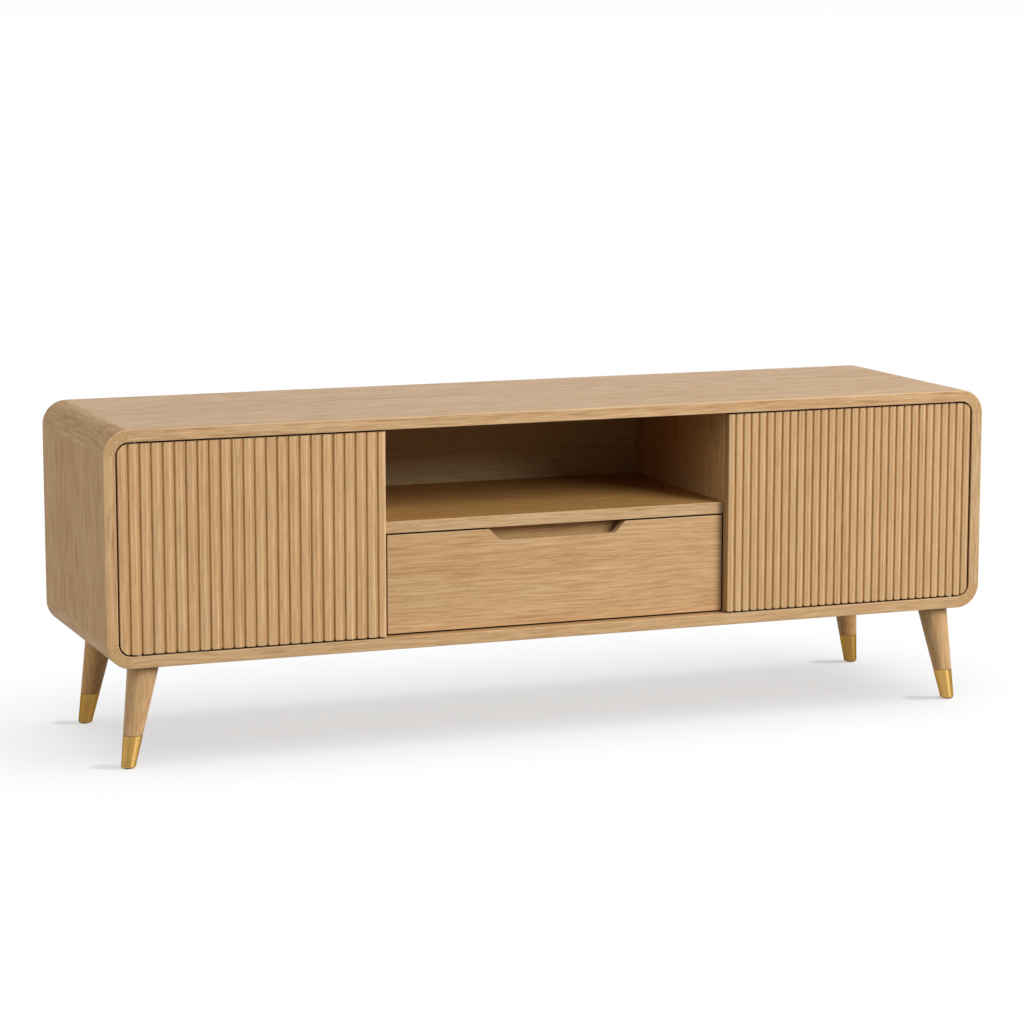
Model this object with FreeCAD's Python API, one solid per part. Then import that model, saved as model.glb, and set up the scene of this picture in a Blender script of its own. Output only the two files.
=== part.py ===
import FreeCAD, Part
import math
import os

# A low media cabinet: a rounded oak case on four splayed legs, with two slatted
# doors on pivot hinges, an open bay in the middle and a drawer under it.
# +X is to the right, +Y to the back and +Z up.  The origin is on the floor,
# under the middle of the case.  All sizes are in millimetres.

V = FreeCAD.Vector

# ---- driving dimensions ----
width = 1600.0
depth = 438.0
leg_height = 172.0
case_height = 392.0
shell_t = 20.0            # thickness of top, bottom and sides
outer_r = 42.0            # outer corner radius of the case
edge_round = 2.0          # rounding of the case's outer front and back edges
small_round = 1.0         # rounding of the other exposed front edges

door_gap = 3.0            # gap between the doors and the case
slat_t = 6.0
door_panel_t = 12.0
door_back_gap = 2.0       # from the back of a door to the dividers
left_door_edge_x = -321.0    # inner edges of the doors
right_door_edge_x = 305.0
left_bay_x = -316.0       # faces of the dividers towards the middle bay
right_bay_x = 305.0
divider_t = 20.0
left_slat_count = 24
left_slat_pitch = 19.28   # counted from the outer edge, which leaves the slat at the bay narrower
right_slat_count = 32
slat_groove = 2.8
slat_corner_r = 3.2
slat_crown = 0.6          # how far the middle of a slat stands proud of its shoulders

back_t = 8.0
back_inset = 20.0         # from the back edge of the case to the back panel
rabbet = 8.0              # step in the case that the back panel lies in

centre_shelf_top = 386.0
centre_shelf_t = 20.0
inner_shelf_top = 378.0
inner_shelf_t = 18.0
inner_shelf_setback = 51.0

drawer_front_t = 18.0
drawer_side_t = 12.0
drawer_bottom_t = 6.0
drawer_groove = 5.0
drawer_bottom_up = 10.0   # from the box's lower edge to its bottom board
box_over_floor = 11.0     # from the case's floor to the drawer box
box_under_front = 2.0     # from the drawer front's top edge down to the box's
slide_behind_front = 3.0  # from the drawer front to the ends of the slides
finger_space = 13.0       # between the drawer front and the drawer box
notch_top_w = 249.0
notch_bottom_w = 212.0
notch_depth = 20.0
notch_corner_r = 10.0
notch_shoulder_r = 7.0
drawer_gap = 3.0
box_edge_round = 1.5      # rounding of the drawer box's upper edges
slide_space = 13.0        # between a divider and the drawer box
slide_length = 350.0

pivot_inset = 32.0        # from a door's outer edge to its pivot axis
pivot_pin_r = 3.0
pivot_fit = 0.05
pivot_depth = 12.0

# ---- screws: length, shank radius, head radius, head height ----
back_screw_size = (22.0, 1.3, 3.0, 1.8)
plate_screw_size = (14.0, 1.5, 3.2, 2.0)
latch_screw_size = (15.0, 1.5, 3.2, 2.0)
slide_case_screw_size = (15.0, 1.6, 3.6, 1.4)
slide_drawer_screw_size = (12.0, 1.6, 3.6, 1.4)
screw_tip_r = 0.2

# ---- where the hidden fixings sit ----
back_screw_xs = (-690.0, -420.0, -140.0, 140.0, 420.0, 690.0)
back_screw_side_zs = (290.0, 446.0)
back_screw_divider_zs = (230.0, 368.0, 506.0)
dowel_ys = (-150.0, 0.0, 150.0)
case_dowel_r = 4.0
dowel_in_case = 12.0      # length of a dowel in a case panel
dowel_in_divider = 18.0   # length in the end of a divider
dowel_through = 10.0      # length in the face of a divider
dowel_in_shelf = 20.0     # length in the end of the middle shelf
spline_t = 4.0
spline_w = 18.0
spline_end = 20.0         # from the spline's end to the edge of the case
shelf_pin_r = 2.5
shelf_pin_in = 9.0        # length in the wall
shelf_pin_out = 8.0       # length under the shelf
shelf_pin_front = 45.0    # from a shelf's front edge to its front pins
shelf_pin_back_y = 130.0
shelf_hole_steps = (-64, -32, 32, 64)
inner_shelf_play = 1.0    # at each end of an inner shelf
inner_shelf_back_gap = 2.0
drawer_dowel_r = 3.0
front_dowel_offsets = (45.0, 55.0)    # from the box's lower and upper edges, drawer front to sides
cross_dowel_offsets = (30.0, 40.0)    # the same for the dowels between the box's own boards
slide_screw_end = 30.0    # from a rail's end to its first screw

front_leg_top = (729.0, 176.0)     # x and y of a leg's axis under the case, on the right
front_foot = (760.0, 185.0)        # x and y of its axis on the floor
back_leg_top = (718.0, 156.0)
back_foot = (746.5, 173.5)
leg_top_r = 26.2
foot_r = 11.7
ferrule_height = 54.5
ferrule_wall = 1.5
ferrule_foot_round = 2.4
glide_r = 8.0
glide_t = 3.2
glide_round = 0.4
glide_proud = 1.6
hanger_bolt_r = 4.0
hanger_bolt_down = 42.0   # into the leg
hanger_bolt_up = 14.5     # into the case
insert_r = 6.5
insert_length = 15.0
tenon_z0 = 4.6            # bottom of the wood inside a ferrule

# ---- places worked out from them ----
front_y = -depth / 2
back_y = depth / 2
case_z0 = leg_height
case_z1 = leg_height + case_height
inner_x = width / 2 - shell_t
inner_z0 = case_z0 + shell_t
inner_z1 = case_z1 - shell_t
inner_r = outer_r - shell_t
flat_x = width / 2 - outer_r
flat_z0 = case_z0 + outer_r
flat_z1 = case_z1 - outer_r
back_panel_y = back_y - back_inset - back_t
slat_back_y = front_y + slat_t
door_back_y = slat_back_y + door_panel_t
recess_y = door_back_y + door_back_gap
door_z0 = inner_z0 + door_gap
door_z1 = inner_z1 - door_gap
door_corner_r = inner_r - door_gap
door_outer_x = inner_x - door_gap
pivot_x = door_outer_x - pivot_inset
pivot_y = slat_back_y + door_panel_t / 2
drawer_x0 = left_bay_x + drawer_gap
drawer_x1 = right_bay_x - drawer_gap
drawer_z0 = inner_z0 + drawer_gap
drawer_z1 = centre_shelf_top - centre_shelf_t - drawer_gap
box_x0 = left_bay_x + slide_space
box_x1 = right_bay_x - slide_space
box_z0 = inner_z0 + box_over_floor
box_z1 = drawer_z1 - box_under_front
drawer_back_face_y = recess_y + drawer_front_t
box_front_y = drawer_back_face_y + finger_space
box_back_y = 170.0
slide_z = 245.0
slide_y0 = drawer_back_face_y + slide_behind_front
slide_y1 = slide_y0 + slide_length

nodes = {}


# ---- helpers ----
def box(x0, x1, y0, y1, z0, z1):
    return Part.makeBox(x1 - x0, y1 - y0, z1 - z0, V(x0, y0, z0))


def rod(radius, start, end):
    """A cylinder between two points."""
    line = end - start
    return Part.makeCylinder(radius, line.Length, start, line)


def ring(outer, inner, start, end):
    return rod(outer, start, end).cut(rod(inner, start, end))


def cut_all(shape, tools):
    """Cut only the tools whose boxes reach the shape."""
    near = [tool for tool in tools if tool.BoundBox.intersect(shape.BoundBox)]
    return shape.cut(near) if near else shape


def rounded_prism(x0, x1, z0, z1, radii, y0, y1):
    """A plate in the XZ plane.  radii: bottom left, bottom right, top right, top left."""
    corners = [
        (V(x0, y0, z0), V(1, 0, 0), V(0, 0, 1), radii[0]),
        (V(x1, y0, z0), V(0, 0, 1), V(-1, 0, 0), radii[1]),
        (V(x1, y0, z1), V(-1, 0, 0), V(0, 0, -1), radii[2]),
        (V(x0, y0, z1), V(0, 0, -1), V(1, 0, 0), radii[3]),
    ]
    edges = []
    ends = []
    for corner, leaving, back, r in corners:
        # the outline comes in along -back's side and leaves along "leaving"
        ends.append((corner + back * r, corner + leaving * r, corner, leaving, back, r))
    for i, (arrive, leave, corner, leaving, back, r) in enumerate(ends):
        if r > 0:
            centre = corner + leaving * r + back * r
            middle = centre + (corner - centre).normalize() * r
            edges.append(Part.Arc(arrive, middle, leave).toShape())
        next_arrive = ends[(i + 1) % 4][0]
        edges.append(Part.makeLine(leave, next_arrive))
    face = Part.Face(Part.Wire(edges))
    return face.extrude(V(0, y1 - y0, 0))


def edges_at_y(shape, y):
    """The edges that lie wholly in the plane at this y."""
    return [e for e in shape.Edges if abs(e.BoundBox.YMin - y) < 1e-6 and abs(e.BoundBox.YMax - y) < 1e-6]


def screw(head, direction, size):
    """A countersunk screw: head is the centre of its flat top."""
    length, shank_r, head_r, head_h = size
    axis = V(direction).normalize()
    cone = Part.makeCone(head_r, shank_r, head_h, head, axis)
    shank = rod(shank_r, head + axis * head_h, head + axis * (length - 2 * shank_r))
    tip = Part.makeCone(shank_r, screw_tip_r, 2 * shank_r, head + axis * (length - 2 * shank_r), axis)
    return cone.fuse([shank, tip]).removeSplitter()


def group(solids):
    return Part.makeCompound(solids)


# ---- fixings that several pieces are drilled for ----
def back_screws():
    points = []
    for x in back_screw_xs:
        points += [(x, inner_z0 - rabbet / 2), (x, inner_z1 + rabbet / 2)]
    for z in back_screw_side_zs:
        points += [(-inner_x - rabbet / 2, z), (inner_x + rabbet / 2, z)]
    for z in back_screw_divider_zs:
        points += [(left_bay_x - divider_t / 2, z), (right_bay_x + divider_t / 2, z)]
    head_y = back_panel_y + back_t
    return [screw(V(x, head_y, z), V(0, -1, 0), back_screw_size) for x, z in points]


def case_dowels():
    dowels = []
    r = case_dowel_r
    shelf_mid_z = centre_shelf_top - centre_shelf_t / 2
    for y in dowel_ys:
        for face_x, outward in ((left_bay_x, -1), (right_bay_x, 1)):
            x = face_x + outward * divider_t / 2
            dowels.append(rod(r, V(x, y, inner_z0 - dowel_in_case), V(x, y, inner_z0 + dowel_in_divider)))
            dowels.append(rod(r, V(x, y, inner_z1 - dowel_in_divider), V(x, y, inner_z1 + dowel_in_case)))
            start = V(face_x + outward * dowel_through, y, shelf_mid_z)
            dowels.append(rod(r, start, V(face_x - outward * dowel_in_shelf, y, shelf_mid_z)))
    return dowels


def corner_splines():
    """Loose tongues that join the four panels to the corner blocks."""
    splines = []
    y0, y1 = front_y + spline_end, back_panel_y - spline_end
    half_t, half_w = spline_t / 2, spline_w / 2
    for side in (-1, 1):
        for z in (case_z0 + shell_t / 2, case_z1 - shell_t / 2):
            x = side * flat_x
            splines.append(box(x - half_w, x + half_w, y0, y1, z - half_t, z + half_t))
        for z in (flat_z0, flat_z1):
            x = side * (width / 2 - shell_t / 2)
            splines.append(box(x - half_t, x + half_t, y0, y1, z - half_w, z + half_w))
    return splines


def shelf_pin_places():
    z = inner_shelf_top - inner_shelf_t - shelf_pin_r
    wall_pairs = [(-inner_x, left_bay_x - divider_t), (right_bay_x + divider_t, inner_x)]
    places = []
    for x0, x1 in wall_pairs:
        for y in (front_y + inner_shelf_setback + shelf_pin_front, shelf_pin_back_y):
            places += [(x0, 1, y, z), (x1, -1, y, z)]
    return places


def shelf_pins():
    pins = []
    for x, side, y, z in shelf_pin_places():
        pins.append(rod(shelf_pin_r, V(x - side * shelf_pin_in, y, z), V(x + side * shelf_pin_out, y, z)))
    return pins


def shelf_pin_holes():
    """Spare holes above and below each pin, so that a shelf can be moved."""
    holes = []
    for x, side, y, z in shelf_pin_places():
        for step in shelf_hole_steps:
            start = V(x - side * shelf_pin_in, y, z + step)
            holes.append(rod(shelf_pin_r, start, V(x + side, y, z + step)))
    return holes


def leg_axis(side_x, side_y):
    """The top and the foot of a leg's axis, and the direction from foot to top."""
    top_x, top_y = front_leg_top if side_y < 0 else back_leg_top
    foot_x, foot_y = front_foot if side_y < 0 else back_foot
    top = V(side_x * top_x, side_y * top_y, case_z0)
    foot = V(side_x * foot_x, side_y * foot_y, 0)
    return top, foot, (top - foot).normalize()


leg_corners = {"front_left": (-1, -1), "front_right": (1, -1), "back_left": (-1, 1), "back_right": (1, 1)}


def hanger_bolt(corner):
    top, _, up = leg_axis(*corner)
    return rod(hanger_bolt_r, top - up * hanger_bolt_down, top + up * hanger_bolt_up)


def leg_insert(corner, bored):
    top, _, up = leg_axis(*corner)
    body = rod(insert_r, top - up * insert_r, top + up * insert_length)
    body = body.cut(box(-width, width, -depth, depth, 0, case_z0))
    return body.cut(hanger_bolt(corner)) if bored else body


# ---- case ----
def case_shell():
    outer = rounded_prism(-width / 2, width / 2, case_z0, case_z1, [outer_r] * 4, front_y, back_y)
    outer = outer.makeFillet(edge_round, edges_at_y(outer, front_y) + edges_at_y(outer, back_y))
    hollow = rounded_prism(-inner_x, inner_x, inner_z0, inner_z1, [inner_r] * 4, front_y - 1, back_y + 1)
    step = rounded_prism(-inner_x - rabbet, inner_x + rabbet, inner_z0 - rabbet, inner_z1 + rabbet,
                         [inner_r + rabbet] * 4, back_panel_y, back_y + 1)
    shell = outer.cut(hollow)
    inner_front = [e for e in edges_at_y(shell, front_y) if abs(e.BoundBox.XMin) < inner_x + 0.5
                   and e.BoundBox.ZMin > inner_z0 - 0.5 and e.BoundBox.ZMax < inner_z1 + 0.5]
    shell = shell.makeFillet(small_round, inner_front)
    return shell.cut(step)


def case_pieces():
    shell = case_shell()
    far = depth
    half = width / 2
    regions = {
        "top_panel": box(-flat_x, flat_x, -far, far, flat_z1, case_z1 + 1),
        "bottom_panel": box(-flat_x, flat_x, -far, far, case_z0 - 1, flat_z0),
        "left_side_panel": box(-half - 1, -flat_x, -far, far, flat_z0, flat_z1),
        "right_side_panel": box(flat_x, half + 1, -far, far, flat_z0, flat_z1),
        "corner_block_top_left": box(-half - 1, -flat_x, -far, far, flat_z1, case_z1 + 1),
        "corner_block_top_right": box(flat_x, half + 1, -far, far, flat_z1, case_z1 + 1),
        "corner_block_bottom_left": box(-half - 1, -flat_x, -far, far, case_z0 - 1, flat_z0),
        "corner_block_bottom_right": box(flat_x, half + 1, -far, far, case_z0 - 1, flat_z0),
    }
    drill = back_screws() + case_dowels() + corner_splines() + shelf_pins() + shelf_pin_holes()
    drill += pivot_plates() + pivot_plate_screws()
    drill += [leg_insert(corner, False) for corner in leg_corners.values()]
    for name, region in regions.items():
        nodes[name] = cut_all(shell.common(region), drill)


def divider(x0, slide_side_screws, latch_drill):
    plate = box(x0, x0 + divider_t, recess_y, back_panel_y, inner_z0, inner_z1)
    upright = [e for e in edges_at_y(plate, recess_y) if e.BoundBox.ZLength > case_height / 2]
    plate = plate.makeFillet(small_round, upright)
    drill = back_screws() + case_dowels() + shelf_pins() + shelf_pin_holes()
    return cut_all(plate, drill + slide_side_screws + latch_drill)


def centre_shelf():
    z0 = centre_shelf_top - centre_shelf_t
    plate = box(left_bay_x, right_bay_x, recess_y, back_panel_y, z0, centre_shelf_top)
    long_edges = [e for e in edges_at_y(plate, recess_y) if e.BoundBox.XLength > case_height / 2]
    plate = plate.makeFillet(small_round, long_edges)
    return cut_all(plate, case_dowels())


cable_hole_x, cable_hole_z = 560.0, 246.0
cable_hole_w, cable_hole_h = 84.0, 44.0
grommet_wall = 2.0
grommet_lip = 5.0
grommet_lip_t = 2.0
grommet_lip_round = 0.8
oval_flat = 0.01          # the short flats left between an oval's two round ends


def oval(x, z, w, h, y0, y1):
    r = h / 2 - oval_flat
    return rounded_prism(x - w / 2, x + w / 2, z - h / 2, z + h / 2, [r] * 4, y0, y1)


def back_panel():
    y1 = back_panel_y + back_t
    plate = rounded_prism(-inner_x - rabbet, inner_x + rabbet, inner_z0 - rabbet, inner_z1 + rabbet,
                          [inner_r + rabbet] * 4, back_panel_y, y1)
    holes = [oval(s * cable_hole_x, cable_hole_z, cable_hole_w, cable_hole_h, back_panel_y - 1, y1 + 1)
             for s in (-1, 1)]
    return cut_all(plate, holes + back_screws())


def grommet(side):
    """An oval plastic sleeve with a lip on the room side of the back panel."""
    x, z = side * cable_hole_x, cable_hole_z
    y0, y1 = back_panel_y, back_panel_y + back_t
    w, h = cable_hole_w, cable_hole_h
    sleeve = oval(x, z, w, h, y0, y1)
    lip_y0 = y0 - grommet_lip_t
    lip = oval(x, z, w + 2 * grommet_lip, h + 2 * grommet_lip, lip_y0, y0)
    lip = lip.makeFillet(grommet_lip_round, edges_at_y(lip, lip_y0))
    bore = oval(x, z, w - 2 * grommet_wall, h - 2 * grommet_wall, lip_y0 - 1, y1 + 1)
    return sleeve.fuse(lip).cut(bore).removeSplitter()


def inner_shelf(x0, x1):
    y0 = front_y + inner_shelf_setback
    z0 = inner_shelf_top - inner_shelf_t
    y1 = back_panel_y - inner_shelf_back_gap
    plate = box(x0 + inner_shelf_play, x1 - inner_shelf_play, y0, y1, z0, inner_shelf_top)
    return plate.makeFillet(small_round, [e for e in edges_at_y(plate, y0) if e.BoundBox.XLength > 100])


# ---- doors and their pivots ----
def door_outline(side, y0, y1):
    """The door's plate: round corners at the outer edge, square ones at the bay."""
    r = door_corner_r
    if side < 0:
        return rounded_prism(-door_outer_x, left_door_edge_x, door_z0, door_z1, [r, 0, 0, r], y0, y1)
    return rounded_prism(right_door_edge_x, door_outer_x, door_z0, door_z1, [0, r, r, 0], y0, y1)


def slat(x0, w):
    """One upright slat with a flat back and rounded front corners."""
    r = slat_corner_r
    k = r * (1 - math.sqrt(0.5))
    y_shoulder = front_y + slat_crown
    a = V(x0, slat_back_y, door_z0)
    b = V(x0, y_shoulder + r, door_z0)
    c = V(x0 + k, y_shoulder + k, door_z0)
    d = V(x0 + r, y_shoulder, door_z0)
    top = V(x0 + w / 2, front_y, door_z0)
    e = V(x0 + w - r, y_shoulder, door_z0)
    f = V(x0 + w - k, y_shoulder + k, door_z0)
    g = V(x0 + w, y_shoulder + r, door_z0)
    h = V(x0 + w, slat_back_y, door_z0)
    edges = [
        Part.makeLine(a, b),
        Part.Arc(b, c, d).toShape(),
        Part.Arc(d, top, e).toShape(),
        Part.Arc(e, f, g).toShape(),
        Part.makeLine(g, h),
        Part.makeLine(h, a),
    ]
    return Part.Face(Part.Wire(edges)).extrude(V(0, 0, door_z1 - door_z0))


def door_slats(side):
    x0, x1 = (-door_outer_x, left_door_edge_x) if side < 0 else (right_door_edge_x, door_outer_x)
    count = left_slat_count if side < 0 else right_slat_count
    pitch = left_slat_pitch if side < 0 else (x1 - x0 + slat_groove) / count
    outline = door_outline(side, front_y - 1, slat_back_y + 1)
    slats = []
    for i in range(count):
        start = x0 + i * pitch
        piece = slat(start, min(pitch - slat_groove, x1 - start))
        corner_start = door_outer_x - door_corner_r
        if piece.BoundBox.XMin < -corner_start or piece.BoundBox.XMax > corner_start:
            piece = piece.common(outline)
        slats.append(piece)
    return slats


bush_flange_r = 5.6
bush_r = 4.5
bush_flange_t = 1.0


def door_bushes(side, bored):
    x = side * pivot_x
    solids = []
    for z, inward in ((door_z0, 1), (door_z1, -1)):
        edge = V(x, pivot_y, z)
        body = rod(bush_r, edge, edge + V(0, 0, inward * (pivot_depth + 1)))
        flange = rod(bush_flange_r, edge, edge + V(0, 0, inward * bush_flange_t))
        bush = body.fuse(flange).removeSplitter()
        if bored:
            far_end = edge + V(0, 0, inward * (pivot_depth + 2))
            bush = bush.cut(rod(pivot_pin_r + pivot_fit, edge, far_end))
        solids.append(bush)
    return solids


plate_t = 2.0
washer_fit = 0.1
plate_half_w = 6.5
plate_x0, plate_x1 = -11.0, 33.0      # reach of a pivot plate from its axis, outwards and inwards
plate_screw_offsets = (13.0, 26.0)    # from the axis, inwards


def pivot_plate_places():
    for side in (-1, 1):
        for z, up in ((inner_z0, 1), (inner_z1, -1)):
            yield side, z, up


def pivot_plates():
    """Steel plates let in flush with the case's floor and ceiling."""
    plates = []
    for side, z, up in pivot_plate_places():
        ends = sorted((side * (pivot_x - plate_x0), side * (pivot_x - plate_x1)))
        za, zb = sorted((z, z - up * plate_t))
        plates.append(box(ends[0], ends[1], pivot_y - plate_half_w, pivot_y + plate_half_w, za, zb))
    return plates


def pivot_pins():
    pins = []
    for side, z, up in pivot_plate_places():
        x = side * pivot_x
        start = V(x, pivot_y, z - up * plate_t)
        pins.append(rod(pivot_pin_r, start, V(x, pivot_y, z + up * (door_gap + pivot_depth))))
    return pins


def pivot_washers():
    """The doors' weight rests on these two, through the lower bushes."""
    washers = []
    for side in (-1, 1):
        start = V(side * pivot_x, pivot_y, inner_z0)
        washers.append(ring(bush_flange_r, pivot_pin_r, start, start + V(0, 0, door_gap - washer_fit)))
    return washers


def pivot_plate_screws():
    screws = []
    for side, z, up in pivot_plate_places():
        for offset in plate_screw_offsets:
            head = V(side * (pivot_x - offset), pivot_y, z)
            screws.append(screw(head, V(0, 0, -up), plate_screw_size))
    return screws


# ---- push latches ----
latch_z = 511.0
latch_half = 7.0
latch_front_y = recess_y + 4.0
latch_length = 46.0
plunger_r = 3.5
plunger_fit = 0.05
plunger_tip_gap = 0.5
plunger_length = 30.0
plunger_wall = 0.7
plunger_round = 0.8
plunger_floor = 10.0      # solid length behind the plunger's tip
latch_bore_depth = 38.0
latch_round = 1.5
latch_foot = 9.0          # reach of a screw foot above and below the housing
latch_foot_t = 3.0
latch_foot_y = (8.0, 38.0)    # from the housing's front end
spring_wire_r = 0.35
spring_coil_r = 2.0
spring_turns = 9.0
spring_start = 3.6        # from the plunger's floor to the spring's first turn
striker_half_w = 8.0
striker_half_h = 12.0
striker_t = 1.2
striker_corner_r = 2.0


def latch_side_x(side):
    """The divider face that carries the latch."""
    return left_bay_x - divider_t if side < 0 else right_bay_x + divider_t


def latch_axis_x(side):
    return latch_side_x(side) + side * latch_half


def latch_housing(side):
    face = latch_side_x(side)
    x0, x1 = sorted((face, face + side * 2 * latch_half))
    y0 = latch_front_y
    body = box(x0, x1, y0, y0 + latch_length, latch_z - latch_half, latch_z + latch_half)
    body = body.makeFillet(latch_round, [e for e in body.Edges if e.BoundBox.YLength > latch_length - 1])
    foot_x0, foot_x1 = sorted((face, face + side * latch_foot_t))
    foot_half_h = latch_half + latch_foot
    foot = box(foot_x0, foot_x1, y0 + latch_foot_y[0], y0 + latch_foot_y[1], latch_z - foot_half_h,
               latch_z + foot_half_h)
    body = body.fuse(foot).removeSplitter()
    x = latch_axis_x(side)
    bore = rod(plunger_r + plunger_fit, V(x, y0 - 1, latch_z), V(x, y0 + latch_bore_depth, latch_z))
    return cut_all(body.cut(bore), latch_screws())


def latch_plunger(side):
    x = latch_axis_x(side)
    y0 = door_back_y + plunger_tip_gap
    pin = rod(plunger_r, V(x, y0, latch_z), V(x, y0 + plunger_length, latch_z))
    pin = pin.makeFillet(plunger_round, edges_at_y(pin, y0))
    hollow = rod(plunger_r - plunger_wall, V(x, y0 + plunger_floor, latch_z),
                 V(x, y0 + plunger_length + 1, latch_z))
    return pin.cut(hollow)


def latch_springs():
    """Drawn at their pressed-in length, so that they stay clear over the whole stroke."""
    springs = []
    y0 = door_back_y + plunger_tip_gap + plunger_floor + spring_start
    y1 = latch_front_y + latch_bore_depth - spring_wire_r
    for side in (-1, 1):
        helix = Part.makeHelix((y1 - y0) / spring_turns, y1 - y0, spring_coil_r)
        section = Part.Wire([Part.makeCircle(spring_wire_r, V(spring_coil_r, 0, 0), V(0, 1, 0))])
        coil = Part.Wire(helix.Edges).makePipeShell([section], True, True)
        coil.rotate(V(0, 0, 0), V(1, 0, 0), -90)
        coil.translate(V(latch_axis_x(side), y0, latch_z))
        springs.append(coil)
    return springs


def latch_screws():
    screws = []
    for side in (-1, 1):
        face = latch_side_x(side)
        for z in (latch_z - latch_half - latch_foot / 2, latch_z + latch_half + latch_foot / 2):
            head = V(face + side * latch_foot_t, latch_front_y + latch_length / 2, z)
            screws.append(screw(head, V(-side, 0, 0), latch_screw_size))
    return screws


def striker(side):
    x = latch_axis_x(side)
    return rounded_prism(x - striker_half_w, x + striker_half_w, latch_z - striker_half_h,
                         latch_z + striker_half_h, [striker_corner_r] * 4, door_back_y - striker_t,
                         door_back_y)


def door_panel(side):
    panel = door_outline(side, slat_back_y, door_back_y)
    return cut_all(panel, door_bushes(side, False) + [striker(side)])


# ---- drawer ----
def notch_cutter():
    """The finger notch: a trapezium with rounded corners, open at the top."""
    cx = (drawer_x0 + drawer_x1) / 2
    z1, z0 = drawer_z1, drawer_z1 - notch_depth
    a = V(cx - notch_top_w / 2, 0, z1)
    b = V(cx - notch_bottom_w / 2, 0, z0)
    c = V(cx + notch_bottom_w / 2, 0, z0)
    d = V(cx + notch_top_w / 2, 0, z1)
    over = V(0, 0, notch_depth)
    wire = Part.makePolygon([a + over, a, b, c, d, d + over, a + over])
    prism = Part.Face(wire).extrude(V(0, drawer_front_t + 10, 0))
    prism.translate(V(0, recess_y - 5, 0))
    low = [e for e in prism.Edges if e.BoundBox.YLength > 20 and e.BoundBox.ZMax < z0 + 1]
    return prism.makeFillet(notch_corner_r, low)


def drawer_front():
    plate = box(drawer_x0, drawer_x1, recess_y, drawer_back_face_y, drawer_z0, drawer_z1)
    plate = plate.cut(notch_cutter())
    shoulder = [e for e in plate.Edges if e.BoundBox.YLength > 10 and e.BoundBox.ZMin > drawer_z1 - 0.5
                and drawer_x0 + 1 < e.CenterOfMass.x < drawer_x1 - 1]
    plate = plate.makeFillet(notch_shoulder_r, shoulder)
    plate = plate.makeFillet(small_round, edges_at_y(plate, recess_y))
    return cut_all(plate, drawer_dowels())


def drawer_dowels():
    """Front dowels and cross dowels sit at different heights, because they would meet."""
    dowels = []
    r = drawer_dowel_r
    into_front, into_end, skin = 10.0, 18.0, 4.0
    for x in (box_x0 + drawer_side_t / 2, box_x1 - drawer_side_t / 2):
        for z in (box_z0 + front_dowel_offsets[0], box_z1 - front_dowel_offsets[1]):
            start = V(x, drawer_back_face_y - into_front, z)
            dowels.append(rod(r, start, V(x, drawer_back_face_y + into_end, z)))
    for y in (box_front_y + drawer_side_t / 2, box_back_y - drawer_side_t / 2):
        for z in (box_z0 + cross_dowel_offsets[0], box_z1 - cross_dowel_offsets[1]):
            for x, inward in ((box_x0, 1), (box_x1, -1)):
                start = V(x + inward * skin, y, z)
                dowels.append(rod(r, start, V(x + inward * (drawer_side_t + into_end), y, z)))
    return dowels


def drawer_bottom():
    z0 = box_z0 + drawer_bottom_up
    inside_x0 = box_x0 + drawer_side_t - drawer_groove
    inside_x1 = box_x1 - drawer_side_t + drawer_groove
    y0 = box_front_y + drawer_side_t - drawer_groove
    y1 = box_back_y - drawer_side_t + drawer_groove
    return box(inside_x0, inside_x1, y0, y1, z0, z0 + drawer_bottom_t)


def drawer_boards():
    inside_x0 = box_x0 + drawer_side_t
    inside_x1 = box_x1 - drawer_side_t
    boards = {
        "drawer_left_side": box(box_x0, inside_x0, drawer_back_face_y, box_back_y, box_z0, box_z1),
        "drawer_right_side": box(inside_x1, box_x1, drawer_back_face_y, box_back_y, box_z0, box_z1),
        "drawer_box_front": box(inside_x0, inside_x1, box_front_y, box_front_y + drawer_side_t,
                                box_z0, box_z1),
        "drawer_back": box(inside_x0, inside_x1, box_back_y - drawer_side_t, box_back_y, box_z0, box_z1),
    }
    drill = drawer_dowels() + slide_screws()[1] + [drawer_bottom()]
    for name, board in boards.items():
        upper = [e for e in board.Edges if e.BoundBox.ZMin > box_z1 - 0.1
                 and max(e.BoundBox.XLength, e.BoundBox.YLength) > 100]
        nodes[name] = cut_all(board.makeFillet(box_edge_round, upper), drill)


# ---- drawer slides: three nested steel channels at each side ----
sheet = 1.2
outer_half_h = 22.5
middle_half_h = 17.5
inner_half_h = 12.0
outer_reach = 9.0         # how far each channel's flanges reach from its web
middle_reach = 5.7
inner_reach = 6.5
middle_web = 4.8          # from the divider to the middle channel's web
middle_shorter = 2.0      # at each end of the middle channel
strip_end = 4.0           # from a channel's end to the runner strips
strip_fit = 0.1
outer_strip = (0.4, 4.0)  # reach of the strips from the middle web, towards the outer channel's flanges
inner_strip = (2.0, 5.2)  # the same for those along the inner channel


def channel(x_web, toward, reach, half_h, y0, y1):
    """A C channel with its web at x_web, opening towards +X or -X."""
    xs = sorted((x_web, x_web + toward * reach))
    body = box(xs[0], xs[1], y0, y1, slide_z - half_h, slide_z + half_h)
    gap = sorted((x_web + toward * sheet, x_web + toward * (reach + 1)))
    hollow = box(gap[0], gap[1], y0 - 1, y1 + 1, slide_z - half_h + sheet, slide_z + half_h - sheet)
    return body.cut(hollow)


def slide_sides():
    """The divider face, the drawer side's face and the direction between them."""
    return ((left_bay_x, box_x0, 1), (right_bay_x, box_x1, -1))


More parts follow.
